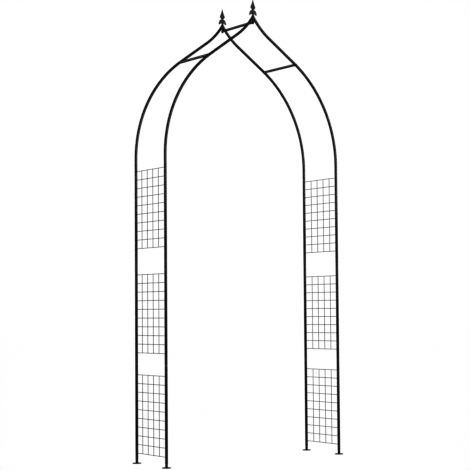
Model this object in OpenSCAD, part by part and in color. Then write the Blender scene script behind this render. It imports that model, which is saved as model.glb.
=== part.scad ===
// Walk-through garden trellis arch with a pointed ogee top.
// Two tube arches stand one behind the other. Each post plugs together from
// foot, three straight tubes, a shoulder bend and a crown bend. Welded wire
// mesh fills the sides, three round bars tie the arches, and a cast finial
// stands on each peak.
// Frame: X across the path, Y from front to back, Z up, origin on the ground.

/* [Arch] */
// Width between the centre lines of the left and right posts
arch_width = 1240; // [1100:10:1700]
// Depth between the centre lines of the front and back arches
arch_depth = 320; // [200:5:600]

/* [Tube] */
// Outer diameter of the post, shoulder and crown tubes
tube_d = 16; // [12:0.5:22]
// Wall of those tubes
tube_wall = 1; // [0.8:0.1:1.5]
// Length of each plug-in end beyond the tube it enters
spigot_len = 40; // [20:1:70]
// Length of the tapered neck behind a plug-in end
neck_len = 5; // [3:0.5:10]
// Gap all round a plug-in end inside its socket
spigot_clearance = 0.1; // [0.05:0.01:0.3]

/* [Bends] */
// Bend radius of the shoulder, on the centre line
shoulder_radius = 738; // [500:1:780]
// Angle turned by the shoulder bend
shoulder_angle = 55; // [45:0.5:62]
// Straight length between the shoulder bend and the crown bend
flank_len = 231; // [80:1:280]
// Slope of the crown tubes where they meet, from level
peak_slope = 57.1; // [50:0.1:68]

/* [Side mesh] */
// Diameter of the mesh wire
wire_d = 3; // [2:0.5:5]
// Height between neighbouring level wires
row_pitch = 50; // [25:1:100]
// Number of level wires in each panel
rows = 10; // [3:1:14]
// Distance between neighbouring upright wires
column_pitch = 60; // [25:1:120]
// Least distance from a post's centre line to the first upright wire
mesh_edge = 50; // [20:1:80]
// Ground to the lowest wire
ground_gap = 60; // [50:1:200]
// Low panel to middle panel
low_gap = 127; // [90:1:300]
// Middle panel to top panel
high_gap = 152; // [90:1:300]
// Top panel to the start of the shoulder bend
head_gap = 74.5; // [60:0.5:500]

/* [Feet] */
// Diameter of the foot disc
foot_d = 52; // [35:1:90]
// Thickness of the foot disc
foot_t = 3; // [2:0.5:6]
// Height of the bare stub between the disc and the post
stub_len = 20; // [8:1:40]
// Step of the stub around its plug-in end
stub_step = 0.5; // [0.3:0.05:0.9]

/* [Cross bars] */
// Diameter of the three cross bars
bar_d = 15; // [9:0.5:16]
// Length of bend between a shoulder bar and the upper end of the shoulder bend
bar_setback = 11; // [10:1:250]
// Depth of the tapped hole in each end of a bar
bar_hole_depth = 25; // [15:1:40]

/* [Peak] */
// Diameter of the peak post that the crown tubes are welded to
peak_post_d = 12; // [10:0.5:16]
// Length of the peak post below the crossing of the tube centre lines
peak_post_drop = 45; // [35:1:80]
// Length of the peak post above that crossing
peak_post_rise = 6; // [3:0.5:12]
// Height of the ridge bar above the end of the peak post
ridge_lift = 10; // [8:0.5:20]

/* [Finial] */
// Height of the finial above its seat on the peak post
finial_h = 94; // [70:1:160]
// Width of the spear blade across the arch
blade_w = 36; // [20:1:60]
// Thickness of the spear blade from front to back
blade_t = 20; // [8:1:40]
// Half the span of the two drooping leaves
leaf_reach = 27; // [20:1:45]
// Thickness of the leaves
leaf_t = 7; // [4:0.5:14]
// Diameter of the stem
stem_d = 10; // [8:0.5:12]
// Diameter of the round collar
collar_d = 18; // [14:0.5:24]

/* [Screws] */
// Thread diameter of every screw and of the finial's stud
screw_d = 6; // [4:0.5:6]
// Head diameter of a button-head screw
head_d = 10.5; // [8:0.5:12]
// Head height of a button-head screw
head_h = 3.3; // [2:0.1:5]
// Width across the flats of the hex socket in a head
socket_af = 4; // [2.5:0.1:5]
// Gap all round a screw in a drilled hole
hole_clearance = 0.2; // [0.1:0.05:0.5]
// Gap all round a screw in a tapped hole
thread_clearance = 0.05; // [0.02:0.01:0.1]
// Length of the finial's stud in the peak post
stud_len = 15; // [8:1:25]

/* [Hidden] */
$fn = 64;
// gap left where a coped tube or bar end is welded or clamped to a round one
cope_clearance = 0.05;
// how far the wires of a welded crossing sink into each other
wire_bite = 0.3;
// how far a cut runs past the face that it opens
past = 1;
// straight tube between the end of the shoulder bend and its neck
flank_lead = 2;
// bending thins the tube wall by this much on each face
bend_thinning = 0.02;
// how far a straight end of a bent tube runs into the bend
bend_bite = 1;

tube_r = tube_d / 2;
bore_r = tube_r - tube_wall;
spigot_r = bore_r - spigot_clearance;
spigot_bore_r = spigot_r - tube_wall;
bar_r = bar_d / 2;
peak_r = peak_post_d / 2;
screw_r = screw_d / 2;
hole_r = screw_r + hole_clearance;
tapped_r = screw_r + thread_clearance;
half_w = arch_width / 2;
half_d = arch_depth / 2;

// a neck narrows from the tube to the plug-in end: the next tube stops where
// the neck is as wide as its bore
neck_seat = neck_len * (tube_r - bore_r) / (tube_r - spigot_r);

// heights of the lowest wire of each panel and of the joints between them
mesh_h = (rows - 1) * row_pitch;
mesh_z = [ground_gap, ground_gap + mesh_h + low_gap, ground_gap + 2 * mesh_h + low_gap + high_gap];
bend_z = mesh_z[2] + mesh_h + head_gap;
socket_len = spigot_len + 8;
foot_joint_z = foot_t + stub_len;
joint_z = [
    foot_joint_z,
    mesh_z[1] - low_gap / 2,
    mesh_z[2] - high_gap / 2,
    bend_z - socket_len
];

// upright wires share the depth evenly, centred between the posts
columns = floor((arch_depth - 2 * mesh_edge) / column_pitch) + 1;
column_y = [for (i = [0 : columns - 1]) (i - (columns - 1) / 2) * column_pitch];

// shoulder bend: its centre is level with the top of the post
shoulder_cx = half_w - shoulder_radius;
bend_end = [shoulder_cx + shoulder_radius * cos(shoulder_angle),
            bend_z + shoulder_radius * sin(shoulder_angle)];

// crown bend: turns up from the flank's slope to the peak's slope, and its
// radius makes it end on the middle plane of the arch
flank_slope = 90 - shoulder_angle;
flank_end = bend_end + flank_len * [-cos(flank_slope), sin(flank_slope)];
crown_turn = peak_slope - flank_slope;
crown_radius = flank_end[0] / (sin(peak_slope) - sin(flank_slope));
// the crown tube stops on the shoulder tube's neck
flank_seat = flank_lead + neck_seat;
peak_z = flank_end[1] + crown_radius * (cos(flank_slope) - cos(peak_slope));
// the bend runs on past the middle plane so that the mitre cuts a full tube
crown_overrun = atan(2 * tube_d / crown_radius);

// shoulder bars sit on the shoulder's centre line
bar_angle = shoulder_angle - bar_setback / shoulder_radius * 180 / PI;
bar_x = shoulder_cx + shoulder_radius * cos(bar_angle);
bar_z = bend_z + shoulder_radius * sin(bar_angle);
peak_post_z = peak_z - peak_post_drop;
ridge_z = peak_post_z + ridge_lift;
seat_z = peak_z + peak_post_rise;

SIDES = ["left", "right"];
ROWS = ["front", "back"];
LEVELS = ["low", "mid", "top"];

// Puts a piece made for the right side, or in the middle, on its side and row
module on(side, row) {
    mirror([side == "left" ? 1 : 0, 0, 0])
        translate([0, row == "front" ? -half_d : half_d, 0])
            children();
}

// Mirrors a piece made for the front row onto the back row
module facing(row) {
    mirror([0, row == "back" ? 1 : 0, 0]) children();
}

// Puts the origin on the flank's centre line at a distance past the shoulder
// bend, with local Z along the flank and local X pointing up and outwards
module on_flank(distance) {
    translate([shoulder_cx, 0, bend_z]) rotate([0, -shoulder_angle, 0])
        translate([shoulder_radius, 0, distance]) children();
}

// Upright tube from 0 to height
module pipe(height) {
    difference() {
        cylinder(h = height, r = tube_r);
        translate([0, 0, -past]) cylinder(h = height + 2 * past, r = bore_r);
    }
}

// Neck and plug-in end on top of a tube that ends at 0
module spigot() {
    end = neck_len + spigot_len;
    difference() {
        union() {
            cylinder(h = neck_len, r1 = tube_r, r2 = spigot_r);
            translate([0, 0, neck_len]) cylinder(h = spigot_len, r = spigot_r);
        }
        cylinder(h = neck_len, r1 = bore_r, r2 = spigot_bore_r);
        translate([0, 0, neck_len]) cylinder(h = spigot_len + past, r = spigot_bore_r);
        translate([0, 0, -past]) cylinder(h = end + 2 * past, r = spigot_bore_r);
    }
}

// Bent tube in the XZ plane: radius, first angle and angle turned
module bent_pipe(radius, start, sweep) {
    rotate([90, 0, 0]) rotate([0, 0, start]) rotate_extrude(angle = sweep, $fn = 256)
        translate([radius, 0]) difference() {
            circle(r = tube_r - bend_thinning);
            circle(r = bore_r + bend_thinning);
        }
}

// Straight post tube with a socket below and a plug-in end above
module post_tube(level) {
    bottom = joint_z[level];
    body = joint_z[level + 1] - neck_seat - bottom;
    color("#1d1d1f") translate([half_w, 0, bottom]) {
        pipe(body);
        translate([0, 0, body]) spigot();
    }
}

// Disc and turned stub under a post
module foot() {
    color("#1d1d1f") translate([half_w, 0, 0]) {
        cylinder(h = foot_t, d = foot_d);
        cylinder(h = foot_joint_z, r = spigot_r + stub_step);
        cylinder(h = foot_joint_z + spigot_len, r = spigot_r);
    }
}

// Convex bend from the top post tube to the flank, drilled for the shoulder bar
module shoulder_tube() {
    bottom = joint_z[3];
    color("#1d1d1f") difference() {
        union() {
            translate([half_w, 0, bottom]) pipe(bend_z + bend_bite - bottom);
            translate([shoulder_cx, 0, bend_z]) bent_pipe(shoulder_radius, 0, shoulder_angle);
            on_flank(-bend_bite) {
                pipe(bend_bite + flank_lead);
                translate([0, 0, bend_bite + flank_lead]) spigot();
            }
        }
        translate([bar_x, 0, bar_z]) rotate([90, 0, 0])
            cylinder(h = tube_d + 2 * past, r = hole_r, center = true);
    }
}

// Straight flank and concave bend up to the peak, mitred on the middle plane
module crown_tube() {
    reach = 2 * tube_d;
    color("#1d1d1f") difference() {
        union() {
            on_flank(flank_seat) pipe(flank_len + bend_bite - flank_seat);
            on_flank(flank_len) translate([crown_radius, 0, 0])
                bent_pipe(crown_radius, 180 - crown_turn - crown_overrun, crown_turn + crown_overrun);
        }
        translate([-2 * reach, -reach, peak_z - 2 * reach]) cube([2 * reach, 2 * reach, 4 * reach]);
        translate([0, 0, peak_z - 2 * reach])
            cylinder(h = 4 * reach, r = peak_r + cope_clearance);
    }
}

// Welded mesh between a front and a back post
module mesh_panel(level) {
    top = (rows - 1) * row_pitch;
    span = arch_depth - tube_d;
    upright_x = wire_d - wire_bite;
    color("#232325") translate([half_w, 0, mesh_z[level]]) {
        for (i = [0 : rows - 1])
            translate([0, 0, i * row_pitch]) rotate([90, 0, 0])
                cylinder(h = span, d = wire_d, center = true);
        for (y = column_y)
            translate([upright_x, y, -wire_d / 2]) cylinder(h = top + wire_d, d = wire_d);
    }
}

// Short upright rod that joins the crown tubes, cross-drilled for the ridge screw
module peak_post() {
    color("#1d1d1f") difference() {
        translate([0, 0, peak_post_z]) cylinder(h = seat_z - peak_post_z, r = peak_r);
        translate([0, 0, ridge_z]) rotate([90, 0, 0])
            cylinder(h = peak_post_d + 2 * past, r = hole_r, center = true);
        translate([0, 0, seat_z - stud_len - past])
            cylinder(h = stud_len + 2 * past, r = tapped_r);
    }
}

// Four-sided spear blade: two upright slabs crossed so that their common part
// is a diamond as wide and as thick as asked
module blade(bottom, height) {
    turn = atan(blade_w / blade_t);
    half = blade_w / 2 * cos(turn);
    edge = [[0.3, 0], [1, 0.24], [0.53, 0.5], [0.31, 0.67], [0.17, 0.85], [0.08, 1]];
    outline = concat(
        [for (p = edge) [p[0] * half, p[1] * height]],
        [for (i = [len(edge) - 1 : -1 : 0]) [-edge[i][0] * half, edge[i][1] * height]]
    );
    translate([0, 0, bottom]) intersection_for(a = [-turn, turn])
        rotate([90, 0, a]) linear_extrude(height = 4 * blade_w, center = true)
            polygon(outline);
}

// Side leaf that leaves the collar level and droops to a point
module leaf(root_z, tip_z) {
    edge = [
        [0, 0], [0.36, 0.02], [0.62, 0.11], [0.8, 0.28], [0.92, 0.6], [1, 0.92],
        [0.92, 1], [0.76, 0.93], [0.62, 0.8], [0.4, 0.66], [0, 0.66]
    ];
    outline = [for (p = edge) [p[0] * leaf_reach, root_z - p[1] * (root_z - tip_z)]];
    rotate([90, 0, 0]) linear_extrude(height = leaf_t, center = true) polygon(outline);
}

// Cast finial: stud, stem, collar, two leaves and a spear blade
module finial() {
    blade_z = 0.34 * finial_h;
    collar_z = 0.2 * finial_h;
    color("#202022") translate([0, 0, seat_z]) {
        translate([0, 0, -stud_len]) cylinder(h = stud_len + past, r = screw_r);
        cylinder(h = blade_z + past, d1 = stem_d, d2 = 0.8 * stem_d);
        translate([0, 0, collar_z]) sphere(d = collar_d);
        translate([0, 0, blade_z - 1]) cylinder(h = 3, d = 1.1 * stem_d);
        blade(blade_z, finial_h - blade_z);
        leaf(blade_z, 0);
        mirror([1, 0, 0]) leaf(blade_z, 0);
    }
}

// Round bar along Y, tapped at both ends
module cross_bar(length) {
    difference() {
        rotate([90, 0, 0]) cylinder(h = length, r = bar_r, center = true);
        for (row = ROWS)
            facing(row) translate([0, -half_d - past, 0]) rotate([-90, 0, 0])
                cylinder(h = tube_r + bar_hole_depth + past, r = tapped_r);
    }
}

// Shoulder bar with its ends coped over the shoulder tubes
module shoulder_bar() {
    color("#1d1d1f") difference() {
        translate([bar_x, 0, bar_z]) cross_bar(arch_depth - tube_r);
        for (row = ROWS)
            facing(row) translate([bar_x, -half_d, bar_z]) rotate([0, -bar_angle, 0])
                cylinder(h = 4 * bar_d, r = tube_r + cope_clearance, center = true);
    }
}

// Ridge bar with its ends coped over the peak posts
module ridge_bar() {
    color("#1d1d1f") difference() {
        translate([0, 0, ridge_z]) cross_bar(arch_depth - peak_r);
        for (row = ROWS)
            facing(row) translate([0, -half_d, ridge_z])
                cylinder(h = 4 * bar_d, r = peak_r + cope_clearance, center = true);
    }
}

// Button-head screw along Y: head on a round face, shank into the bar's end
module screw(seat_r) {
    shank = 2 * seat_r + bar_hole_depth - 5;
    color("#3a3a3d") translate([0, -seat_r, 0]) rotate([-90, 0, 0]) {
        cylinder(h = shank, r = screw_r);
        difference() {
            translate([0, 0, -head_h]) cylinder(h = head_h, d1 = 0.7 * head_d, d2 = head_d);
            translate([0, 0, -head_h - past])
                cylinder(h = 0.6 * head_h + past, d = socket_af / cos(30), $fn = 6);
        }
    }
}

for (s = SIDES, r = ROWS) {
    on(s, r) foot();
    on(s, r) post_tube(0);
    on(s, r) post_tube(1);
    on(s, r) post_tube(2);
    on(s, r) shoulder_tube();
    on(s, r) crown_tube();
}
for (s = SIDES) {
    mirror([s == "left" ? 1 : 0, 0, 0]) mesh_panel(0);
    mirror([s == "left" ? 1 : 0, 0, 0]) mesh_panel(1);
    mirror([s == "left" ? 1 : 0, 0, 0]) mesh_panel(2);
    mirror([s == "left" ? 1 : 0, 0, 0]) shoulder_bar();
}
for (r = ROWS) {
    on("right", r) peak_post();
    on("right", r) finial();
}
ridge_bar();  // bar_ridge
for (s = SIDES, r = ROWS) mirror([s == "left" ? 1 : 0, 0, 0]) facing(r)  // bar_screws
        translate([bar_x, -half_d, bar_z]) screw(tube_r);
for (r = ROWS) facing(r) translate([0, -half_d, ridge_z]) screw(peak_r);  // ridge_screws
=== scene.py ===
import math

import bmesh
import bpy
from bpy.props import FloatProperty, FloatVectorProperty, IntProperty, PointerProperty
from bpy.types import Operator, Panel, PropertyGroup
from mathutils import Matrix, Vector


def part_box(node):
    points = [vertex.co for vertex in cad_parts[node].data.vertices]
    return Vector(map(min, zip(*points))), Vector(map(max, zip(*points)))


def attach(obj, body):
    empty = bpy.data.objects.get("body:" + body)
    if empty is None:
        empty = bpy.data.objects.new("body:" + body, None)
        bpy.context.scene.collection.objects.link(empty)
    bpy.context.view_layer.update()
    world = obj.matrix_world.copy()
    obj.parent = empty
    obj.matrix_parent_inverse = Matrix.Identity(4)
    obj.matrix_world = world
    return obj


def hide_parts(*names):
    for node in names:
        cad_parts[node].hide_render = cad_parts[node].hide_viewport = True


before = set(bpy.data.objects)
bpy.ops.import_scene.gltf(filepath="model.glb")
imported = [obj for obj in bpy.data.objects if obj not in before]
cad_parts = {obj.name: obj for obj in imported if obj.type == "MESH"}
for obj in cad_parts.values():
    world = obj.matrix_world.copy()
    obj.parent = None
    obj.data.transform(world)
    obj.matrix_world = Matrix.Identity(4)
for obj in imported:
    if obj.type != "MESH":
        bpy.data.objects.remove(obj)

bl_info = {
    "name": "Garden Trellis Arch",
    "version": (1, 0, 0),
    "blender": (4, 5, 0),
    "location": "View3D > Sidebar > Trellis Arch",
    "description": "Dresses the frame of a pointed garden trellis arch: "
                   "tubes, mesh, finials and finishes",
    "category": "Add Mesh",
}

MM = 0.001
FULL_TURN = 2 * math.pi
HALF_TURN = math.pi
QUARTER_TURN = math.pi / 2
MERGE_DISTANCE = 1e-7     # points this close are one point
SENSOR_WIDTH = 36         # of the camera, in millimetres
SIDES = {"left": -1, "right": 1}
ROWS = {"front": -1, "back": 1}
LEVELS = ("low", "mid", "top")
FRAME_PIECES = ("shoulder_", "crown_", "peak_post_", "bar_left", "bar_right", "bar_ridge")

# Soft boxes: name, place, width and height in metres, power in watts.
LIGHTS = (
    ("key_light", (1.7, -6.2, 2.5), 0.9, 2.2, 210),
    ("side_light", (-6.6, 1.2, 2.0), 0.9, 3.4, 25),
    ("back_light", (-2.8, 6.0, 2.6), 1.6, 4.4, 120),
)
LIT_POINT = (0, 0, 1.3)   # where every soft box points

# Blade of the finial, from its foot up: share of its length, share of its width.
BLADE_OUTLINE = (
    (0.0, 0.34), (0.06, 0.5), (0.15, 0.78), (0.215, 0.96), (0.25, 1.0), (0.29, 0.98), (0.38, 0.85),
    (0.5, 0.67), (0.62, 0.5), (0.76, 0.33), (0.9, 0.19), (0.975, 0.12), (1.0, 0.06),
)

# Leaf of the finial, from its root out: share of the reach, share of the finial's height,
# droop in degrees, half depth as a share of the height, share of the thickness.
LEAF_PATH = (
    (0.037, 0.207, 0, 0.133, 0.75), (0.3, 0.202, 7, 0.1335, 0.9), (0.509, 0.182, 15, 0.1245, 1.0),
    (0.681, 0.147, 19, 0.1036, 1.0), (0.77, 0.1085, 24, 0.079, 1.0), (0.839, 0.07, 31, 0.062, 1.0),
    (0.896, 0.041, 40, 0.046, 0.95), (0.935, 0.026, 48, 0.031, 0.75),
    (0.952, 0.02, 50, 0.012, 0.35),
)

# Dome of a screw's head, from its rim in: share of the head's radius, share of its height.
BUTTON_DOME = (
    (1.0, 0.0), (1.0, 0.5 / 3.3), (0.95, 1.3 / 3.3), (0.83, 2.2 / 3.3), (0.66, 2.9 / 3.3),
    (0.5, 3.25 / 3.3), (0.46, 1.0),
)
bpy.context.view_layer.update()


# ---------------------------------------------------------------- places read from the frame

def middle(node):
    """The middle of a frame node's box."""
    low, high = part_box(node)
    return (low + high) / 2


def top_of(node):
    """The height of a frame node's highest point."""
    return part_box(node)[1].z


def foot_of(node):
    """The height of a frame node's lowest point."""
    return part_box(node)[0].z


def corners():
    """Side, row and place on the ground of each of the four legs."""
    for side, sx in SIDES.items():
        for row, sy in ROWS.items():
            yield side, row, Vector((sx * HALF_W, sy * HALF_D, 0))


TUBE_R = (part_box("post_low_right_front")[1].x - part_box("post_low_right_front")[0].x) / 2
HALF_W = middle("post_low_right_front").x
HALF_D = middle("post_low_right_back").y
WIRE_R = HALF_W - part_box("mesh_low_right")[0].x
STUD_R = 3 * MM


# ---------------------------------------------------------------- settings

class TubeSizes(PropertyGroup):
    """Sizes of the tubes that the frame's boxes don't tell"""
    wall: FloatProperty(name="Wall", description="Wall of the post tubes", default=1 * MM,
                        min=0.5 * MM, max=2 * MM, unit="LENGTH")
    plug: FloatProperty(name="Plug", description="Length of a plug-in end above its neck",
                        default=40 * MM, min=10 * MM, max=80 * MM, unit="LENGTH")
    neck: FloatProperty(name="Neck", description="Length of the tapered neck under a plug-in end",
                        default=5 * MM, min=2 * MM, max=12 * MM, unit="LENGTH")
    slack: FloatProperty(name="Slack", description="Gap round a plug-in end in its socket",
                         default=0.1 * MM, min=0.02 * MM, max=0.5 * MM, unit="LENGTH")
    lip: FloatProperty(name="Lip", description="Rounding of a cut tube end",
                       default=0.35 * MM, min=0, max=1 * MM, unit="LENGTH")
    disc: FloatProperty(name="Disc", description="Thickness of a foot disc",
                        default=3 * MM, min=1 * MM, max=8 * MM, unit="LENGTH")
    disc_rim: FloatProperty(name="Disc rim", description="Rounding of a foot disc's rim",
                            default=0.7 * MM, min=0, max=1.4 * MM, unit="LENGTH")
    shoulder: FloatProperty(name="Stub shoulder",
                            description="How far a foot's stub stands out past its plug-in end",
                            default=0.5 * MM, min=0.1 * MM, max=1 * MM, unit="LENGTH")
    rise: FloatProperty(name="Post rise",
                        description="Height of a peak post above the tubes' crossing",
                        default=6 * MM, min=3 * MM, max=12 * MM, unit="LENGTH")
    slope: FloatProperty(name="Peak slope", description="Slope of the crown tubes at the peak",
                         default=math.radians(57.1), min=0.8, max=1.2, subtype="ANGLE")


class WeldSizes(PropertyGroup):
    """Sizes of the weld beads at the feet and the peaks"""
    foot: FloatProperty(name="Foot bead", description="Radius of the bead round a foot's stub",
                        default=1.7 * MM, min=0.5 * MM, max=4 * MM, unit="LENGTH")
    post: FloatProperty(name="Peak post bead", description="Radius of the bead round a peak post",
                        default=1.1 * MM, min=0.5 * MM, max=4 * MM, unit="LENGTH")
    mitre: FloatProperty(name="Mitre bead",
                         description="Radius of the bead between two crown tubes",
                         default=1 * MM, min=0.5 * MM, max=4 * MM, unit="LENGTH")
    ripple: FloatProperty(name="Ripple", description="Share by which a bead swells at each step",
                          default=0.16, min=0, max=0.5)


class MeshSizes(PropertyGroup):
    """Sizes of the welded mesh and its welds"""
    rows: IntProperty(name="Level wires", description="Level wires in a panel", default=10,
                      min=2, max=20)
    columns: IntProperty(name="Upright wires", description="Upright wires in a panel", default=4,
                         min=1, max=12)
    column_pitch: FloatProperty(name="Column pitch", description="Distance between upright wires",
                                default=60 * MM, min=20 * MM, max=120 * MM, unit="LENGTH")
    bite: FloatProperty(name="Weld bite",
                        description="How far two crossing wires sink into each other",
                        default=0.3 * MM, min=0, max=1 * MM, unit="LENGTH")
    nugget: FloatProperty(name="Weld nugget",
                          description="Radius of the squeezed metal at a crossing",
                          default=1.9 * MM, min=1 * MM, max=4 * MM, unit="LENGTH")
    bead: FloatProperty(name="End bead", description="Radius of the bead where a wire meets a post",
                        default=2.6 * MM, min=1.6 * MM, max=5 * MM, unit="LENGTH")


class FinialSizes(PropertyGroup):
    """Sizes of the cast finial"""
    blade_width: FloatProperty(name="Blade width", description="Width of the spear blade",
                               default=36 * MM, min=10 * MM, max=80 * MM, unit="LENGTH")
    blade_depth: FloatProperty(name="Blade depth",
                               description="Thickness of the blade at its middle rib",
                               default=19 * MM, min=4 * MM, max=50 * MM, unit="LENGTH")
    stem: FloatProperty(name="Stem", description="Radius of the stem", default=5 * MM,
                        min=2 * MM, max=8 * MM, unit="LENGTH")
    collar: FloatProperty(name="Collar", description="Radius of the round collar", default=9 * MM,
                          min=5 * MM, max=15 * MM, unit="LENGTH")
    leaf_thickness: FloatProperty(name="Leaf thickness", description="Thickness of a drooping leaf",
                                  default=7 * MM, min=2 * MM, max=14 * MM, unit="LENGTH")


class ScrewSizes(PropertyGroup):
    """Sizes of the button-head screws"""
    rise: FloatProperty(name="Head", description="Height of the domed head", default=3.3 * MM,
                        min=1 * MM, max=6 * MM, unit="LENGTH")
    flats: FloatProperty(name="Socket", description="Width of the hex socket across its flats",
                         default=4 * MM, min=1 * MM, max=6 * MM, unit="LENGTH")
    depth: FloatProperty(name="Socket depth", description="Depth of the hex socket", default=2 * MM,
                         min=0.5 * MM, max=3 * MM, unit="LENGTH")
    shank: FloatProperty(name="Shank", description="Length of the screw under its head",
                         default=30 * MM, min=5 * MM, max=60 * MM, unit="LENGTH")


class FinishSettings(PropertyGroup):
    """Colours and surface of the finishes"""
    coat: FloatVectorProperty(name="Powder coat",
                              description="Colour of the coated tube", subtype="COLOR",
                              size=3, default=(0.017, 0.017, 0.0185), min=0, max=1)
    wire: FloatVectorProperty(name="Mesh coat",
                              description="Colour of the coated wire", subtype="COLOR",
                              size=3, default=(0.019, 0.019, 0.02), min=0, max=1)
    # Lighter than the tube coat: partly the rougher cast coat's own colour, partly a painted sheen
    # that stands in for the reflections on the finial.
    cast: FloatVectorProperty(name="Cast coat",
                              description="Colour of the coated castings", subtype="COLOR",
                              size=3, default=(0.05, 0.05, 0.051), min=0, max=1)
    zinc: FloatVectorProperty(name="Black zinc",
                              description="Colour of the screws", subtype="COLOR",
                              size=3, default=(0.07, 0.07, 0.077), min=0, max=1)
    steel: FloatVectorProperty(name="Bare steel",
                               description="Colour where the coat has rubbed off",
                               subtype="COLOR", size=3, default=(0.2, 0.196, 0.188), min=0, max=1)
    dust: FloatVectorProperty(name="Dust",
                              description="Colour of settled garden dust", subtype="COLOR",
                              size=3, default=(0.11, 0.1, 0.083), min=0, max=1)
    peel: FloatProperty(name="Orange peel", description="Size of the ripples in the powder coat",
                        default=1.4 * MM, min=0.3 * MM, max=5 * MM, unit="LENGTH")
    ripple: FloatProperty(name="Ripple strength", description="How strongly the ripples show",
                          default=0.3, min=0, max=1)
    skin: FloatProperty(name="Skin roughness", description="Roughness of the coat's clear skin",
                        default=0.28, min=0, max=1)


class StageSettings(PropertyGroup):
    """Camera, lights and floor"""
    azimuth: FloatProperty(name="Azimuth",
                           description="Camera's angle round the arch from the front",
                           default=math.radians(-35.05), subtype="ANGLE")
    elevation: FloatProperty(name="Elevation", description="Camera's angle above its aim",
                             default=math.radians(-3.23), subtype="ANGLE")
    roll: FloatProperty(name="Roll", description="Camera's turn about its own axis",
                        default=math.radians(-0.42), subtype="ANGLE")
    distance: FloatProperty(name="Distance", description="Camera to the point it aims at",
                            default=8.362, min=1, max=30, unit="LENGTH")
    aim_side: FloatProperty(name="Aim to the side",
                            description="Shift of the aim to the camera's right",
                            default=-0.0241, unit="LENGTH")
    aim_height: FloatProperty(name="Aim height", description="Height of the camera's aim",
                              default=1.3285, unit="LENGTH")
    lens: FloatProperty(name="Lens", description="Focal length in millimetres", default=107.05,
                        min=20, max=300)
    contrast: FloatProperty(name="Gamma",
                            description="Display gamma: below 1 the dark coats turn blacker",
                            default=0.55, min=0.3, max=1)
    floor: FloatVectorProperty(name="Floor", description="Colour of the floor", subtype="COLOR",
                               size=3, default=(1.0, 1.0, 1.0), min=0, max=1)


# ---------------------------------------------------------------- modelling helpers

def in_place(bm, matrix):
    """Moves everything in a bmesh by a matrix and returns the bmesh."""
    bmesh.ops.transform(bm, matrix=matrix, verts=bm.verts)
    return bm


def joined(*parts):
    """One bmesh that holds every given bmesh."""
    whole = bmesh.new()
    scratch = bpy.data.meshes.new("scratch")
    for part in parts:
        part.to_mesh(scratch)
        whole.from_mesh(scratch)
        part.free()
    bpy.data.meshes.remove(scratch)
    return whole


def turned(outline, segments=48, rounding=0.0):
    """A solid of revolution about Z. The outline is radius and height, from the axis back to
    the axis or, for a ring, all the way round."""
    bm = bmesh.new()
    ring = outline[0][0] > 0 or outline[-1][0] > 0
    corners = [bm.verts.new((radius, 0, height)) for radius, height in outline]
    for pair in zip(corners, corners[1:] + corners[:1] if ring else corners[1:]):
        bm.edges.new(pair)
    if rounding:
        sharp = corners if ring else corners[1:-1]
        bmesh.ops.bevel(bm, geom=sharp, offset=rounding, segments=3, profile=0.5,
                        affect="VERTICES", material=-1, clamp_overlap=True)
    bmesh.ops.spin(bm, geom=bm.verts[:] + bm.edges[:], cent=(0, 0, 0), axis=(0, 0, 1),
                   angle=FULL_TURN, steps=segments, use_merge=True)
    bmesh.ops.remove_doubles(bm, verts=bm.verts, dist=MERGE_DISTANCE)
    bmesh.ops.recalc_face_normals(bm, faces=bm.faces)
    return bm


def weld_bead(radius, bead, steps, ripples=24, sweep=FULL_TURN):
    """Weld metal on a circle round Z, or on an arc of it centred on X, with the ripples that a
    welder's steps leave."""
    ripple = bpy.context.scene.arch_weld.ripple
    bm = bmesh.new()
    bmesh.ops.create_circle(bm, segments=10, radius=bead)
    in_place(bm, Matrix.Rotation(-sweep / 2, 4, "Z") @ Matrix.Translation((radius, 0, 0))
             @ Matrix.Rotation(QUARTER_TURN, 4, "X"))
    bmesh.ops.spin(bm, geom=bm.verts[:] + bm.edges[:], cent=(0, 0, 0), axis=(0, 0, 1),
                   angle=sweep, steps=steps, use_merge=sweep == FULL_TURN)
    for vert in bm.verts:
        turn = math.atan2(vert.co.y, vert.co.x)
        middle_line = Vector((math.cos(turn), math.sin(turn), 0)) * radius
        swell = 1 + ripple * abs(math.sin(turn * ripples / 2))
        vert.co = middle_line + (vert.co - middle_line) * swell
    bmesh.ops.holes_fill(bm, edges=bm.edges, sides=0)
    bmesh.ops.recalc_face_normals(bm, faces=bm.faces)
    return bm


def rod(radius, length, sides, rounding=0.0):
    """A round rod along Z, centred, with rounded rims if asked."""
    bm = bmesh.new()
    bmesh.ops.create_cone(bm, cap_ends=True, segments=sides, radius1=radius, radius2=radius,
                          depth=length)
    if rounding:
        rims = [e for e in bm.edges if len(e.link_faces) == 2 and
                any(len(f.verts) == sides for f in e.link_faces)]
        bmesh.ops.bevel(bm, geom=rims, offset=rounding, segments=2, profile=0.5,
                        affect="EDGES", material=-1)
    return bm


def grow(bm, edges):
    """Extrudes a loop in place and returns the new loop's edges and points."""
    grown = bmesh.ops.extrude_edge_only(bm, edges=edges)["geom"]
    return ([g for g in grown if isinstance(g, bmesh.types.BMEdge)],
            [g for g in grown if isinstance(g, bmesh.types.BMVert)])


def reshape(bm, verts, wider, higher=0.0):
    """Widens a loop of points round Z and lifts it."""
    bmesh.ops.transform(bm, matrix=Matrix.Diagonal((wider, wider, 1, 1)), verts=verts)
    bmesh.ops.translate(bm, vec=(0, 0, higher), verts=verts)


def smoothed(rows, steps=4):
    """The rows with more rows between them, on a smooth curve through the given ones."""
    fine = []
    last = len(rows) - 1
    for i in range(last):
        four = (rows[max(0, min(last, i + k))] for k in (-1, 0, 1, 2))
        spans = list(zip(*four))
        for step in range(steps):
            t = step / steps
            fine.append(tuple(
                b + t * ((c - a) / 2 + t * (a - 2.5 * b + 2 * c - d / 2
                                            + t * (1.5 * (b - c) + (d - a) / 2)))
                for a, b, c, d in spans))
    return fine + [rows[last]]


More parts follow.
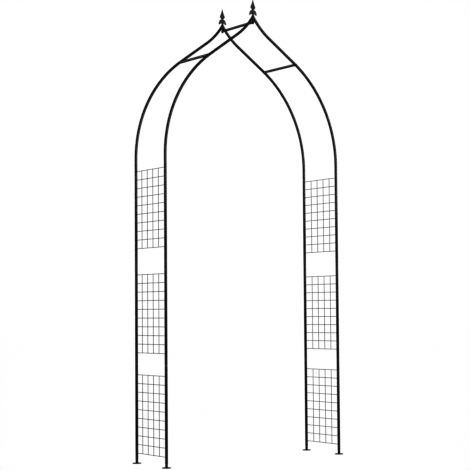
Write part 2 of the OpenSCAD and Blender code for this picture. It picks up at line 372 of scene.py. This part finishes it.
def add_piece(name, bm, finish, stands_for=(), smooth_below=35):
    """Makes a piece of the arch from a bmesh whose faces already point outwards, rides it on the
    frame and gives it its finish."""
    mesh = bpy.data.meshes.new(name)
    bm.to_mesh(mesh)
    bm.free()
    mesh.shade_smooth()
    mesh.set_sharp_from_angle(angle=math.radians(smooth_below))
    piece = bpy.data.objects.new(name, mesh)
    bpy.context.scene.collection.objects.link(piece)
    mesh.materials.append(finish_material(finish))
    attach(piece, "root")
    if stands_for:
        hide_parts(*stands_for)
    return piece


# ---------------------------------------------------------------- finishes

def feed(links, value, socket):
    """Gives a socket its value: a number or colour is set on it, a socket is linked to it."""
    if isinstance(value, bpy.types.NodeSocket):
        links.new(value, socket)
    else:
        socket.default_value = value


def noise(nodes, links, vector, scale, detail, rough):
    """A noise texture on a vector, with its scale either a number or a socket."""
    node = nodes.new("ShaderNodeTexNoise")
    node.inputs["Detail"].default_value = detail
    node.inputs["Roughness"].default_value = rough
    links.new(vector, node.inputs["Vector"])
    feed(links, scale, node.inputs["Scale"])
    return node.outputs["Fac"]


def spread(nodes, links, value, low, high, out_low=0.0, out_high=1.0):
    """A value mapped from one range onto another, held at both ends."""
    node = nodes.new("ShaderNodeMapRange")
    node.inputs["From Min"].default_value = low
    node.inputs["From Max"].default_value = high
    node.inputs["To Min"].default_value = out_low
    node.inputs["To Max"].default_value = out_high
    links.new(value, node.inputs["Value"])
    return node.outputs["Result"]


def arithmetic(nodes, links, operation, first, second):
    """Two values, each a number or a socket, through one Math node."""
    node = nodes.new("ShaderNodeMath")
    node.operation = operation
    feed(links, first, node.inputs[0])
    feed(links, second, node.inputs[1])
    return node.outputs["Value"]


def blend_colours(nodes, links, factor, first, second):
    """One colour into another by a factor."""
    node = nodes.new("ShaderNodeMix")
    node.data_type = "RGBA"
    links.new(factor, node.inputs["Factor"])
    ends = [s for s in node.inputs if s.type == "RGBA"]
    for colour, socket in zip((first, second), ends):
        fixed = not isinstance(colour, bpy.types.NodeSocket)
        feed(links, (*colour, 1) if fixed else colour, socket)
    return next(s for s in node.outputs if s.type == "RGBA")


def build_coat_surface(nodes, links, given, result):
    """Orange peel, fine grit and slow unevenness of a sprayed and baked coat."""
    where = given.outputs["Position"]
    ripples = noise(nodes, links, where, given.outputs["Ripple Scale"], detail=2.0, rough=0.45)
    grit_scale = arithmetic(nodes, links, "MULTIPLY", given.outputs["Ripple Scale"], 5.3)
    grit = noise(nodes, links, where, grit_scale, detail=4.0, rough=0.65)
    cloud = noise(nodes, links, where, 9.0, detail=3.0, rough=0.6)
    fine = arithmetic(nodes, links, "MULTIPLY", grit, given.outputs["Grit"])
    links.new(arithmetic(nodes, links, "ADD", ripples, fine), result.inputs["Height"])
    links.new(spread(nodes, links, cloud, 0.3, 0.7), result.inputs["Cloud"])
    links.new(spread(nodes, links, ripples, 0.35, 0.65), result.inputs["Mottle"])


def build_garden_dust(nodes, links, given, result):
    """Dust that settles on upward faces, with dried splashes close to the ground."""
    where = given.outputs["Position"]
    speckle = noise(nodes, links, where, 420.0, detail=4.0, rough=0.7)
    patch = noise(nodes, links, where, 26.0, detail=3.0, rough=0.6)
    geometry = nodes.new("ShaderNodeNewGeometry")
    facing = nodes.new("ShaderNodeSeparateXYZ")
    links.new(geometry.outputs["Normal"], facing.inputs["Vector"])
    place = nodes.new("ShaderNodeSeparateXYZ")
    links.new(where, place.inputs["Vector"])
    upward = spread(nodes, links, facing.outputs["Z"], 0.35, 1.0)
    near_ground = spread(nodes, links, place.outputs["Z"], 0.16, 0.0)
    spots = spread(nodes, links, speckle, 0.5, 0.68)
    broken = spread(nodes, links, patch, 0.38, 0.62)
    settled = arithmetic(nodes, links, "MULTIPLY", upward, broken)
    splash = arithmetic(nodes, links, "MULTIPLY", near_ground, spots)
    film = arithmetic(nodes, links, "MULTIPLY", settled, 0.5)
    total = arithmetic(nodes, links, "MAXIMUM", film, splash)
    masked = arithmetic(nodes, links, "MULTIPLY", total, given.outputs["Amount"])
    links.new(masked, result.inputs["Mask"])


def build_rubbed_edge(nodes, links, given, result):
    """Breaks the wear painted on a piece's edges into chips."""
    chips = noise(nodes, links, given.outputs["Position"], 900.0, detail=5.0, rough=0.7)
    painted = arithmetic(nodes, links, "MULTIPLY", given.outputs["Worn"], given.outputs["Amount"])
    lowered = arithmetic(nodes, links, "SUBTRACT", chips, 1.0)
    level = arithmetic(nodes, links, "ADD", painted, lowered)
    links.new(spread(nodes, links, level, 0.0, 0.12), result.inputs["Mask"])


# Each effect: what builds it, its inputs with their defaults, its outputs.
EFFECTS = {
    "coat surface": (build_coat_surface, {"Position": None, "Ripple Scale": 500.0, "Grit": 0.2},
                     ("Height", "Cloud", "Mottle")),
    "garden dust": (build_garden_dust, {"Position": None, "Amount": 0.5}, ("Mask",)),
    "rubbed edge": (build_rubbed_edge, {"Position": None, "Worn": 0.0, "Amount": 1.0}, ("Mask",)),
}


def effect_group(name):
    """The shader node group of an effect, built once. An input without a default is a place."""
    if name in bpy.data.node_groups:
        return bpy.data.node_groups[name]
    build, inputs, outputs = EFFECTS[name]
    group = bpy.data.node_groups.new(name, "ShaderNodeTree")
    for label, value in inputs.items():
        kind = "NodeSocketVector" if value is None else "NodeSocketFloat"
        socket = group.interface.new_socket(label, in_out="INPUT", socket_type=kind)
        socket.default_value = (0, 0, 0) if value is None else value
    for label in outputs:
        group.interface.new_socket(label, in_out="OUTPUT", socket_type="NodeSocketFloat")
    nodes = group.nodes
    build(nodes, group.links, nodes.new("NodeGroupInput"), nodes.new("NodeGroupOutput"))
    return group


def place_effect(nodes, links, effect, **values):
    """Puts an effect in a material, its inputs given as numbers or sockets."""
    node = nodes.new("ShaderNodeGroup")
    node.node_tree = effect_group(effect)
    for label, value in values.items():
        feed(links, value, node.inputs[label.replace("_", " ")])
    return node.outputs


def new_material(name):
    """A material with its nodes, links, shader and the place on the piece."""
    material = bpy.data.materials.new(name)
    material.use_nodes = True
    nodes, links = material.node_tree.nodes, material.node_tree.links
    where = nodes.new("ShaderNodeTexCoord").outputs["Object"]
    return material, nodes, links, nodes["Principled BSDF"], where


def worn_spots(nodes, links, where, amount):
    """The mask of bare metal, from the wear painted on a piece."""
    worn = nodes.new("ShaderNodeAttribute")
    worn.attribute_name = "worn"
    return place_effect(nodes, links, "rubbed edge", Position=where, Worn=worn.outputs["Fac"],
                        Amount=amount)["Mask"]


def rippled(nodes, links, shader, height, depth, strength=1.0):
    """Gives a shader the ripples of a surface."""
    bump = nodes.new("ShaderNodeBump")
    bump.inputs["Distance"].default_value = depth
    bump.inputs["Strength"].default_value = strength
    links.new(height, bump.inputs["Height"])
    links.new(bump.outputs["Normal"], shader.inputs["Normal"])


def coated(name, colour, settings, grit, ripple_depth, gloss, dust, skin):
    """A baked powder coat: dark colour, orange peel, a clear skin, dust and chipped edges."""
    material, nodes, links, shader, where = new_material(name)
    surface = place_effect(nodes, links, "coat surface", Position=where,
                           Ripple_Scale=0.5 / settings.peel, Grit=grit)
    dusty = place_effect(nodes, links, "garden dust", Position=where, Amount=dust)["Mask"]
    chipped = worn_spots(nodes, links, where, 1.0)
    deep = [c * 0.7 for c in colour]
    light = [c * 1.45 for c in colour]
    shade = blend_colours(nodes, links, surface["Cloud"], deep, light)
    shade = blend_colours(nodes, links, dusty, shade, settings.dust)
    shade = blend_colours(nodes, links, chipped, shade, settings.steel)
    links.new(shade, shader.inputs["Base Color"])
    rough = spread(nodes, links, surface["Mottle"], 0.0, 1.0, *gloss)
    duller = arithmetic(nodes, links, "MULTIPLY", dusty, 0.4)
    links.new(arithmetic(nodes, links, "ADD", rough, duller), shader.inputs["Roughness"])
    links.new(chipped, shader.inputs["Metallic"])
    rippled(nodes, links, shader, surface["Height"], ripple_depth, settings.ripple)
    shader.inputs["Coat Weight"].default_value = skin
    shader.inputs["Coat Roughness"].default_value = settings.skin
    shader.inputs["IOR"].default_value = 1.5
    return material


def black_zinc(name, settings):
    """Black-passivated zinc on a screw: a dark metal, cloudy, with a rubbed rim."""
    material, nodes, links, shader, where = new_material(name)
    surface = place_effect(nodes, links, "coat surface", Position=where,
                           Ripple_Scale=900.0, Grit=0.5)
    chipped = worn_spots(nodes, links, where, 0.9)
    dull = [c * 0.75 for c in settings.zinc]
    shade = blend_colours(nodes, links, surface["Mottle"], dull, settings.zinc)
    shade = blend_colours(nodes, links, chipped, shade, settings.steel)
    links.new(shade, shader.inputs["Base Color"])
    links.new(spread(nodes, links, surface["Cloud"], 0, 1, 0.3, 0.46), shader.inputs["Roughness"])
    shader.inputs["Metallic"].default_value = 0.9
    rippled(nodes, links, shader, surface["Height"], 0.02 * MM)
    return material


def finish_material(slot):
    """The material for one of the record's finishes, made the first time it is asked for."""
    name = "finish_" + slot
    if name in bpy.data.materials:
        return bpy.data.materials[name]
    settings = bpy.context.scene.arch_finish
    if slot == "screw_black":
        return black_zinc(name, settings)
    # The cast colour is partly the casting's own coat and partly a painted sheen, lightened to
    # stand in for the finial's reflections.
    if slot == "cast_coat":
        return coated(name, settings.cast, settings, grit=0.9, ripple_depth=0.16 * MM,
                      gloss=(0.42, 0.62), dust=0.35, skin=0.15)
    if slot == "mesh_coat":
        return coated(name, settings.wire, settings, grit=0.3, ripple_depth=0.05 * MM,
                      gloss=(0.36, 0.5), dust=0.5, skin=0.2)
    return coated(name, settings.coat, settings, grit=0.2, ripple_depth=0.07 * MM,
                  gloss=(0.26, 0.4), dust=0.5, skin=0.35)


def paint_wear(piece, measure):
    """Stores how rubbed each point of a piece is, from 0 to 1, by a rule on its place."""
    layer = piece.data.attributes.new("worn", "FLOAT", "POINT")
    layer.data.foreach_set("value", [measure(v.co) for v in piece.data.vertices])


def near(value, spot, reach):
    """1 at a spot, falling to 0 at its reach."""
    return max(0.0, 1 - abs(value - spot) / reach)


# ---------------------------------------------------------------- pieces

class ARCH_OT_feet(Operator):
    """Build the four feet: disc, turned stub, plug-in end and weld bead"""
    bl_idname = "arch.feet"
    bl_label = "Feet"

    def execute(self, context):
        sizes = context.scene.arch_tube
        low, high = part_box("foot_right_front")
        disc_r = (high.x - low.x) / 2
        seat = foot_of("post_low_right_front")
        plug_r = TUBE_R - sizes.wall - sizes.slack
        stub_r = plug_r + sizes.shoulder
        start = 0.5 * MM     # height at which the stub starts, inside the disc
        for side, row, place in corners():
            name = f"foot_{side}_{row}"
            disc = turned([(0, 0), (disc_r, 0), (disc_r, sizes.disc), (0, sizes.disc)],
                          segments=96, rounding=sizes.disc_rim)
            stub = turned([(0, start), (stub_r, start), (stub_r, seat), (plug_r, seat),
                           (plug_r, high.z), (0, high.z)], rounding=0.2 * MM)
            weld = weld_bead(stub_r + 0.5 * MM, context.scene.arch_weld.foot, steps=96)
            in_place(weld, Matrix.Translation((0, 0, sizes.disc + 0.2 * MM)))
            whole = in_place(joined(disc, stub, weld), Matrix.Translation(place))
            piece = add_piece(f"{name}_dressed", whole, "powder_coat", [name])
            paint_wear(piece, lambda p: 0.62 * near((p - place).xy.length, disc_r, 2.5 * MM)
                       * near(p.z, sizes.disc / 2, 4 * MM))
        return {"FINISHED"}


class ARCH_OT_posts(Operator):
    """Build the twelve straight post tubes with rolled lips, necks and plug-in ends"""
    bl_idname = "arch.posts"
    bl_label = "Post tubes"

    def execute(self, context):
        sizes = context.scene.arch_tube
        bore = TUBE_R - sizes.wall
        plug = bore - sizes.slack
        hole = plug - sizes.wall
        for level in LEVELS:
            for side, row, place in corners():
                node = f"post_{level}_{side}_{row}"
                bottom, top = foot_of(node), top_of(node)
                neck_top = top - sizes.plug
                neck_foot = neck_top - sizes.neck
                tube = turned([(TUBE_R, bottom), (TUBE_R, neck_foot), (plug, neck_top), (plug, top),
                               (hole, top), (hole, neck_top), (bore, neck_foot), (bore, bottom)],
                              segments=40, rounding=sizes.lip)
                in_place(tube, Matrix.Translation(place))
                piece = add_piece(f"{node}_dressed", tube, "powder_coat", [node])
                paint_wear(piece, lambda p: max(0.66 * near(p.z, bottom, 1.6 * MM),
                                                0.5 * near(p.z, neck_top, 5 * MM)))
        return {"FINISHED"}


class ARCH_OT_bends(Operator):
    """Finish the shoulder and crown tubes, whose bends come from the frame"""
    bl_idname = "arch.bends"
    bl_label = "Bent tubes"

    def execute(self, context):
        coat = finish_material("powder_coat")
        for name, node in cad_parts.items():
            if name.startswith(FRAME_PIECES):
                for holder in node.material_slots:
                    holder.material = coat
        return {"FINISHED"}


class ARCH_OT_mesh(Operator):
    """Build the six welded mesh panels with their nuggets and end beads"""
    bl_idname = "arch.mesh"
    bl_label = "Mesh panels"

    def execute(self, context):
        sizes = context.scene.arch_mesh
        for level in LEVELS:
            for side, sx in SIDES.items():
                node = f"mesh_{level}_{side}"
                panel = self.panel(sizes, sx, *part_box(node))
                add_piece(f"{node}_dressed", panel, "mesh_coat", [node])
        return {"FINISHED"}

    def panel(self, sizes, sx, low, high):
        """Level wires from post to post, upright wires on their outer side, and every weld."""
        level_x = sx * HALF_W
        upright_x = sx * (HALF_W + 2 * WIRE_R - sizes.bite)
        pitch = (high.z - low.z - 2 * WIRE_R) / (sizes.rows - 1)
        columns = [(i - (sizes.columns - 1) / 2) * sizes.column_pitch for i in range(sizes.columns)]
        along = Matrix.Rotation(QUARTER_TURN, 4, "X")
        parts = []
        for row in range(sizes.rows):
            height = low.z + WIRE_R + row * pitch
            wire = rod(WIRE_R, 2 * (HALF_D - TUBE_R), 14)
            parts.append(in_place(wire, Matrix.Translation((level_x, 0, height)) @ along))
            parts += [self.end_bead(sizes, level_x, sy, height) for sy in ROWS.values()]
            parts += [self.nugget(sizes, (level_x + upright_x) / 2, y, height) for y in columns]
        for y in columns:
            upright = rod(WIRE_R, high.z - low.z, 14, 0.3 * MM)
            centre = Vector((upright_x, y, (low.z + high.z) / 2))
            parts.append(in_place(upright, Matrix.Translation(centre)))
        return joined(*parts)

    def end_bead(self, sizes, x, sy, height):
        """The bead where a level wire is welded to a post."""
        r = sizes.bead
        bead = turned([(0, -1 * MM), (r, -1 * MM), (0.95 * r, 0.3 * MM), (0.72 * r, 1.1 * MM),
                       (WIRE_R + 0.05 * MM, 1.9 * MM), (0, 1.9 * MM)], segments=10)
        away = Matrix.Rotation(sy * QUARTER_TURN, 4, "X")
        return in_place(bead, Matrix.Translation((x, sy * (HALF_D - TUBE_R), height)) @ away)

    def nugget(self, sizes, x, y, height):
        """The squeezed metal where two wires cross."""
        squeezed = Matrix.Diagonal((0.62, 1, 1, 1))
        bm = bmesh.new()
        bmesh.ops.create_uvsphere(bm, u_segments=8, v_segments=5, radius=sizes.nugget)
        return in_place(bm, Matrix.Translation((x, y, height)) @ squeezed)


class ARCH_OT_peak_welds(Operator):
    """Build the weld beads where the crown tubes meet each other and the peak posts"""
    bl_idname = "arch.peak_welds"
    bl_label = "Peak welds"

    def execute(self, context):
        sizes, welds = context.scene.arch_tube, context.scene.arch_weld
        low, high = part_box("peak_post_front")
        post_r = (high.x - low.x) / 2
        crossing = high.z - sizes.rise
        for row, sy in ROWS.items():
            parts = [self.round_the_post(sizes, welds.post, post_r, above) for above in (1, -1)]
            parts += [self.mitre(sizes, welds.mitre, turn) for turn in (0, HALF_TURN)]
            whole = in_place(joined(*parts), Matrix.Translation((0, sy * HALF_D, crossing)))
            add_piece(f"peak_weld_{row}", whole, "powder_coat")
        return {"FINISHED"}

    def round_the_post(self, sizes, bead, post_r, above):
        """The bead where the peak post enters the tubes, from above or from below."""
        bm = weld_bead(post_r + 0.2 * MM, bead, steps=72, ripples=20)
        for vert in bm.verts:
            flat = vert.co.xy.normalized() * post_r
            skin = math.sqrt(max(0.0, TUBE_R ** 2 - flat.y ** 2)) / math.cos(sizes.slope)
            vert.co.z += above * skin - abs(flat.x) * math.tan(sizes.slope)
            if above > 0:
                vert.co.z = min(vert.co.z, sizes.rise + 0.6 * MM)
        return bm

    def mitre(self, sizes, bead, turn):
        """The short bead on the front or back of the mitre of the two tubes."""
        bm = weld_bead(TUBE_R, bead, steps=24, ripples=30, sweep=math.radians(84))
        in_place(bm, Matrix.Diagonal((1, 1 / math.cos(sizes.slope), 1, 1)))
        upright = Matrix.Rotation(QUARTER_TURN, 4, "Z") @ Matrix.Rotation(QUARTER_TURN, 4, "X")
        return in_place(bm, Matrix.Rotation(turn, 4, "Z") @ upright)


class ARCH_OT_finials(Operator):
    """Build the two cast finials: stem, collar, drooping leaves and spear blade"""
    bl_idname = "arch.finials"
    bl_label = "Finials"

    def execute(self, context):
        sizes = context.scene.arch_finial
        seat = top_of("peak_post_front")
        low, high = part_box("finial_front")
        tall = high.z - seat
        reach = high.x
        for row, sy in ROWS.items():
            parts = [self.stem(sizes, tall, seat - low.z), self.blade(sizes, tall)]
            parts += [self.leaf(sizes, tall, reach, turn) for turn in (0, HALF_TURN)]
            whole = in_place(joined(*parts), Matrix.Translation((0, sy * HALF_D, seat)))
            node = f"finial_{row}"
            piece = add_piece(f"{node}_dressed", whole, "cast_coat", [node], smooth_below=42)
            paint_wear(piece, lambda p: 0.6 * near(p.z, seat + tall, 5 * MM))
        return {"FINISHED"}

    def stem(self, sizes, tall, stud):
        """Stud, stem, round collar between two grooves, and the neck under the blade."""
        ball, neck = 0.195 * tall, 0.34 * tall
        r, collar = sizes.stem, sizes.collar
        outline = [(0, -stud), (STUD_R, -stud), (STUD_R, 0), (1.18 * r, 0), (1.1 * r, 0.02 * tall),
                   (0.9 * r, 0.05 * tall), (0.88 * r, ball - 0.95 * collar)]
        for degrees in range(-60, 61, 15):
            swing = math.radians(degrees)
            outline.append((collar * math.cos(swing), ball + 0.9 * collar * math.sin(swing)))
        outline += [(0.95 * r, neck - 0.035 * tall), (1.2 * r, neck - 0.02 * tall),
                    (1.2 * r, neck + 0.01 * tall), (0.8 * r, neck + 0.03 * tall),
                    (0, neck + 0.03 * tall)]
        return turned(outline, segments=48, rounding=0.25 * MM)

    def blade(self, sizes, tall):
        """Four-sided spear blade with a middle rib on each face and nearly straight upper edges."""
        bottom = 0.33 * tall
        length = tall - bottom
        stations = smoothed(BLADE_OUTLINE, 2)
        hollow = 0.16        # share by which a face sinks between the rib and the edge
        bevelled = math.radians(24)
        bm = bmesh.new()
        bmesh.ops.create_circle(bm, segments=4, radius=1, cap_ends=True)
        bmesh.ops.subdivide_edges(bm, edges=bm.edges[:], cuts=3)
        for vert in bm.verts:
            vert.co *= 1 - hollow * math.sin(2 * math.atan2(vert.co.y, vert.co.x)) ** 2
        edges = [e for e in bm.edges if e.is_boundary]
        at, share = stations[0]
        half_w, half_t = sizes.blade_width / 2 * share, sizes.blade_depth / 2 * share
        in_place(bm, Matrix.Translation((0, 0, bottom)) @ Matrix.Diagonal((half_w, half_t, 1, 1)))
        for next_at, next_share in stations[1:]:
            edges, verts = grow(bm, edges)
            reshape(bm, verts, next_share / share, (next_at - at) * length)
            at, share = next_at, next_share
        bmesh.ops.holes_fill(bm, edges=bm.edges, sides=0)
        bmesh.ops.recalc_face_normals(bm, faces=bm.faces)
        ridges = [e for e in bm.edges if len(e.link_faces) == 2 and e.calc_face_angle(0) > bevelled]
        bmesh.ops.bevel(bm, geom=ridges, offset=0.6 * MM, segments=2, profile=0.5, affect="EDGES",
                        material=-1, clamp_overlap=True)
        return bm

    def leaf(self, sizes, tall, reach, turn):
        """A thick leaf that leaves the neck level, droops beside the collar and ends bluntly."""
        thick = sizes.leaf_thickness / 2
        bm = bmesh.new()
        edges = back = None
        for out, up, droop, half, flat in smoothed(LEAF_PATH):
            place = (Matrix.Translation((out * reach, 0, up * tall))
                     @ Matrix.Rotation(math.radians(90 + droop), 4, "Y")
                     @ Matrix.Diagonal((half * tall, flat * thick, 1, 1)))
            if edges is None:
                made = bmesh.ops.create_circle(bm, segments=24, radius=1, matrix=place)
                edges = list({e for v in made["verts"] for e in v.link_edges})
            else:
                edges, verts = grow(bm, edges)
                bmesh.ops.transform(bm, matrix=place @ back, verts=verts)
            back = place.inverted()
        bmesh.ops.holes_fill(bm, edges=bm.edges, sides=0)
        bmesh.ops.recalc_face_normals(bm, faces=bm.faces)
        return in_place(bm, Matrix.Rotation(turn, 4, "Z"))


class ARCH_OT_screws(Operator):
    """Build the button-head screws that hold the cross bars"""
    bl_idname = "arch.screws"
    bl_label = "Screws"

    def execute(self, context):
        sizes = context.scene.arch_screw
        bars = [middle(bar).x for bar in ("bar_left", "bar_right")]
        for node, places in (("bar_screws", bars), ("ridge_screws", [0.0])):
            low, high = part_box(node)
            height = (low.z + high.z) / 2
            parts = []
            for x in places:
                for sy in ROWS.values():
                    seat = Matrix.Translation((x, sy * (high.y - sizes.rise), height))
                    outward = Matrix.Rotation(-sy * QUARTER_TURN, 4, "X")
                    parts.append(in_place(self.button(sizes, (high.z - low.z) / 2), seat @ outward))
            piece = add_piece(f"{node}_dressed", joined(*parts), "screw_black", [node],
                              smooth_below=30)
            paint_wear(piece, lambda p: 0.55 * near(abs(p.y), high.y, 1.2 * MM))
        return {"FINISHED"}

    def button(self, sizes, head_r):
        """Domed head with a hex socket, on a shank: the head rises along Z from 0."""
        bm = bmesh.new()
        bmesh.ops.create_circle(bm, segments=24, radius=head_r)
        rim = edges = bm.edges[:]
        share, rise = BUTTON_DOME[0]
        for next_share, next_rise in BUTTON_DOME[1:]:
            edges, verts = grow(bm, edges)
            reshape(bm, verts, next_share / share, (next_rise - rise) * sizes.rise)
            share, rise = next_share, next_rise
        edges, verts = grow(bm, edges)
        for vert in verts:
            turn = math.atan2(vert.co.y, vert.co.x)
            side = (turn + math.pi / 6) % (math.pi / 3) - math.pi / 6
            vert.co.xy = vert.co.xy.normalized() * (sizes.flats / 2 / math.cos(side))
        edges, verts = grow(bm, edges)
        bmesh.ops.translate(bm, vec=(0, 0, -sizes.depth), verts=verts)
        bmesh.ops.holes_fill(bm, edges=edges, sides=0)
        edges, verts = grow(bm, rim)
        reshape(bm, verts, STUD_R / head_r)
        edges, verts = grow(bm, edges)
        bmesh.ops.translate(bm, vec=(0, 0, -sizes.shank), verts=verts)
        bmesh.ops.holes_fill(bm, edges=edges, sides=0)
        bmesh.ops.recalc_face_normals(bm, faces=bm.faces)
        return bm


# ---------------------------------------------------------------- stage

class ARCH_OT_stage(Operator):
    """Set the floor, the studio lights and the camera"""
    bl_idname = "arch.stage"
    bl_label = "Stage"

    def execute(self, context):
        settings = context.scene.arch_stage
        self.floor(settings)
        self.world(context)
        for name, place, width, height, power in LIGHTS:
            self.soft_light(name, Vector(place), width, height, power)
        self.camera(context, settings)
        return {"FINISHED"}

    def floor(self, settings):
        """A broad white floor that glows evenly, like a light table, and that no piece mirrors."""
        bm = bmesh.new()
        bmesh.ops.create_circle(bm, cap_ends=True, segments=96, radius=60)
        mesh = bpy.data.meshes.new("floor")
        bm.to_mesh(mesh)
        bm.free()
        plane = bpy.data.objects.new("floor", mesh)
        bpy.context.scene.collection.objects.link(plane)
        material, nodes, links, shader, where = new_material("floor")
        grain = noise(nodes, links, where, 3.0, detail=4.0, rough=0.6)
        darker = [c * 0.995 for c in settings.floor]
        glow = blend_colours(nodes, links, grain, darker, settings.floor)
        links.new(glow, shader.inputs["Emission Color"])
        shader.inputs["Emission Strength"].default_value = 1.0
        shader.inputs["Base Color"].default_value = (0, 0, 0, 1)
        shader.inputs["Specular IOR Level"].default_value = 0
        mesh.materials.append(material)
        plane.visible_glossy = False

    def world(self, context):
        """White to look at and on matt surfaces, nearly dark in reflections, as in a studio
        where the bright backdrop stands far behind. Also sets how the picture is toned."""
        world = bpy.data.worlds.new("studio")
        world.use_nodes = True
        nodes, links = world.node_tree.nodes, world.node_tree.links
        path = nodes.new("ShaderNodeLightPath")
        mirrored = nodes["Background"]
        mirrored.inputs["Color"].default_value = (0.95, 0.97, 1, 1)
        mirrored.inputs["Strength"].default_value = 0.05
        below = mirrored.outputs["Background"]
        for ray in ("Is Diffuse Ray", "Is Camera Ray"):
            light = nodes.new("ShaderNodeBackground")
            light.inputs["Strength"].default_value = 1.0
            light.inputs["Color"].default_value = (1, 1, 1, 1)
            mix = nodes.new("ShaderNodeMixShader")
            links.new(path.outputs[ray], mix.inputs["Fac"])
            links.new(below, mix.inputs[1])
            links.new(light.outputs["Background"], mix.inputs[2])
            below = mix.outputs["Shader"]
        links.new(below, nodes["World Output"].inputs["Surface"])
        context.scene.world = world
        context.scene.view_settings.view_transform = "Standard"
        context.scene.view_settings.gamma = context.scene.arch_stage.contrast

    def soft_light(self, name, place, width, height, power):
        """A soft box that faces the middle of the arch."""
        lamp = bpy.data.lights.new(name, "AREA")
        lamp.shape = "RECTANGLE"
        lamp.size = width
        lamp.size_y = height
        lamp.energy = power
        holder = bpy.data.objects.new(name, lamp)
        bpy.context.scene.collection.objects.link(holder)
        holder.visible_camera = False
        holder.location = place
        holder.rotation_mode = "QUATERNION"
        holder.rotation_quaternion = (Vector(LIT_POINT) - place).to_track_quat("-Z", "Y")

    def camera(self, context, settings):
        """The camera, placed round its aim by azimuth, elevation, distance and roll."""
        a, e = settings.azimuth, settings.elevation
        back = Vector((math.sin(a) * math.cos(e), -math.cos(a) * math.cos(e), math.sin(e)))
        right = Vector((math.cos(a), math.sin(a), 0))
        aim = Vector((0, 0, settings.aim_height)) + settings.aim_side * right
        lens = bpy.data.cameras.new("camera")
        lens.lens = settings.lens
        lens.sensor_width = SENSOR_WIDTH
        camera = bpy.data.objects.new("camera", lens)
        context.scene.collection.objects.link(camera)
        up = back.cross(right)
        turn = Matrix((right, up, back)).transposed()
        camera.rotation_mode = "QUATERNION"
        camera.rotation_quaternion = (turn @ Matrix.Rotation(settings.roll, 3, "Z")).to_quaternion()
        camera.location = aim + back * settings.distance
        context.scene.camera = camera


class ARCH_PT_panel(Panel):
    """Lists the pieces of the trellis arch and their sizes"""
    bl_idname = "ARCH_PT_panel"
    bl_label = "Trellis Arch"
    bl_space_type = "VIEW_3D"
    bl_region_type = "UI"
    bl_category = "Trellis Arch"

    def draw(self, context):
        for name in SETTINGS:
            settings = getattr(context.scene, name)
            box = self.layout.box()
            box.label(text=name.removeprefix("arch_").capitalize())
            for label in settings.__annotations__:
                box.prop(settings, label)
        for operator in OPERATORS:
            self.layout.operator(operator.bl_idname)


SETTINGS = {"arch_tube": TubeSizes, "arch_weld": WeldSizes, "arch_mesh": MeshSizes,
            "arch_finial": FinialSizes, "arch_screw": ScrewSizes, "arch_finish": FinishSettings,
            "arch_stage": StageSettings}
OPERATORS = (ARCH_OT_stage, ARCH_OT_feet, ARCH_OT_posts, ARCH_OT_bends, ARCH_OT_mesh,
             ARCH_OT_peak_welds, ARCH_OT_finials, ARCH_OT_screws)


def register():
    """Adds the settings, operators and panel."""
    for cls in (*SETTINGS.values(), *OPERATORS, ARCH_PT_panel):
        bpy.utils.register_class(cls)
    for name, cls in SETTINGS.items():
        setattr(bpy.types.Scene, name, PointerProperty(type=cls))


def unregister():
    """Takes them away again."""
    for name in SETTINGS:
        delattr(bpy.types.Scene, name)
    for cls in (ARCH_PT_panel, *reversed(OPERATORS), *reversed(SETTINGS.values())):
        bpy.utils.unregister_class(cls)


def main():
    """Builds the whole arch and its stage."""
    register()
    for operator in OPERATORS:
        group, name = operator.bl_idname.split(".")
        getattr(getattr(bpy.ops, group), name)()


if __name__ == "__main__":
    main()
